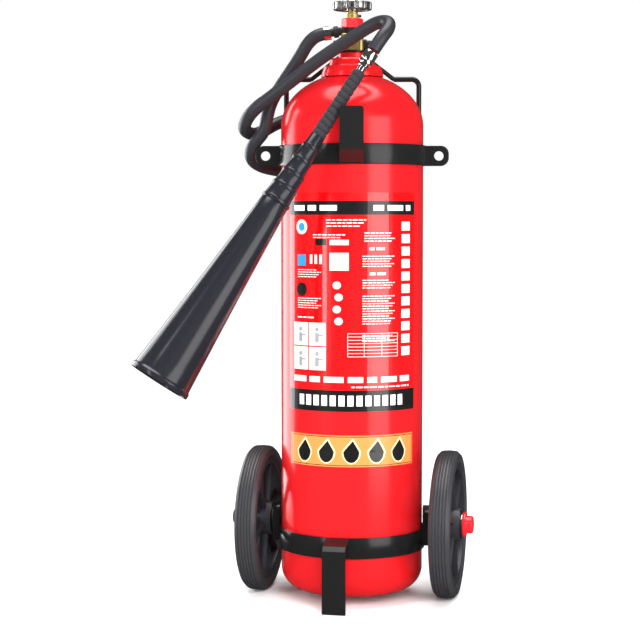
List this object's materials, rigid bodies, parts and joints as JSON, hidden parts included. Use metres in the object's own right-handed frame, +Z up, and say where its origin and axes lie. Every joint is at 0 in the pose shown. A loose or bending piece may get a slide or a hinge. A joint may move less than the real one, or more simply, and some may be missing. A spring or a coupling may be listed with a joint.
{
  "type": "wheeled fire extinguisher",
  "caption": "Upright carbon dioxide fire extinguisher on two wheels and a front foot, with a handwheel valve, a looped hose and a long discharge horn in a clip.",
  "frame": {"origin": "on the floor, under the middle of the cylinder", "axes": "+Z up along the cylinder, X along the wheel axles, front foot towards -Y"},
  "size_m": [0.3347, 0.3491, 0.667],
  "materials": {
    "red_paint": "gloss",
    "black_paint": "gloss",
    "brass": "satin",
    "chrome": "polished",
    "zinc_steel": "satin",
    "handwheel_alloy": "cast",
    "black_fitting": "satin",
    "hose_rubber": "satin",
    "horn_plastic": "gloss",
    "grip_plastic": "matt",
    "tyre_rubber": "satin",
    "wheel_plastic": "satin",
    "bush_nylon": "matt",
    "red_plastic": "gloss",
    "label_film": "gloss",
    "orange_film": "gloss",
    "seal_rubber": "matt"
  },
  "bodies": {
    "carriage": {"cylinder": "red_paint", "neck_ring": "red_paint", "main_label": "label_film", "lower_label": "orange_film", "upper_band_front": "black_paint", "upper_band_back": "black_paint", "horn_clip": "black_paint", "handle_bar": "black_paint", "stay_ring": "black_paint", "neck_stay_left": "black_paint", "neck_stay_right": "black_paint", "valve_seal": "seal_rubber", "valve_body": "brass", "dip_tube": "zinc_steel", "burst_disc_plug": "black_fitting", "burst_disc": "brass", "fill_port_plug": "black_fitting", "banjo_outlet": "black_fitting", "outlet_ferrule": "chrome", "bonnet_nut": "red_plastic", "gland": "brass", "gland_pin": "black_fitting", "hose": "hose_rubber", "lower_band": "black_paint", "front_foot": "black_paint", "axle_cap_left": "black_fitting", "axle_cap_right": "red_plastic", "axle_bracket_left": "black_paint", "stub_axle_left": "zinc_steel", "washers_left": "zinc_steel", "axle_bracket_right": "black_paint", "stub_axle_right": "zinc_steel", "washers_right": "zinc_steel"},
    "horn": {"horn_ferrule": "chrome", "horn_nipple": "chrome", "horn_grip": "grip_plastic", "discharge_tube": "zinc_steel", "horn_neck": "horn_plastic", "nozzle": "brass", "horn_cone": "horn_plastic"},
    "valve_lift": {"valve_disc": "brass"},
    "handwheel": {"spindle": "brass", "handwheel": "handwheel_alloy", "handwheel_nut": "zinc_steel"},
    "wheel_left": {"tyre_left": "tyre_rubber", "wheel_hub_left": "wheel_plastic", "wheel_bush_left": "bush_nylon"},
    "wheel_right": {"tyre_right": "tyre_rubber", "wheel_hub_right": "wheel_plastic", "wheel_bush_right": "bush_nylon"}
  },
  "joints": [
    {"name": "horn_swing", "type": "hinge", "parent": "carriage", "child": "horn", "pos_m": [0.03563, -0.07425, 0.604], "axis": [-0.1822, 0.9833, 0], "range_deg": [0, 20]},
    {"name": "spindle_lift", "type": "slide", "parent": "carriage", "child": "valve_lift", "axis": [0, 0, 1], "range_m": [0, 0.003]},
    {"name": "handwheel_turn", "type": "hinge", "parent": "valve_lift", "child": "handwheel", "pos_m": [0, 0, 0.66], "axis": [0, 0, 1], "range_deg": [0, 720]},
    {"name": "wheel_left_spin", "type": "hinge", "parent": "carriage", "child": "wheel_left", "pos_m": [-0.1085, 0.012, 0.083], "axis": [1, 0, 0], "continuous": true},
    {"name": "wheel_right_spin", "type": "hinge", "parent": "carriage", "child": "wheel_right", "pos_m": [0.1085, 0.012, 0.083], "axis": [1, 0, 0], "continuous": true}
  ],
  "couplings": [
    {"joint": "spindle_lift", "follows": "handwheel_turn", "m_per_rad": 0.0002387}
  ]
}
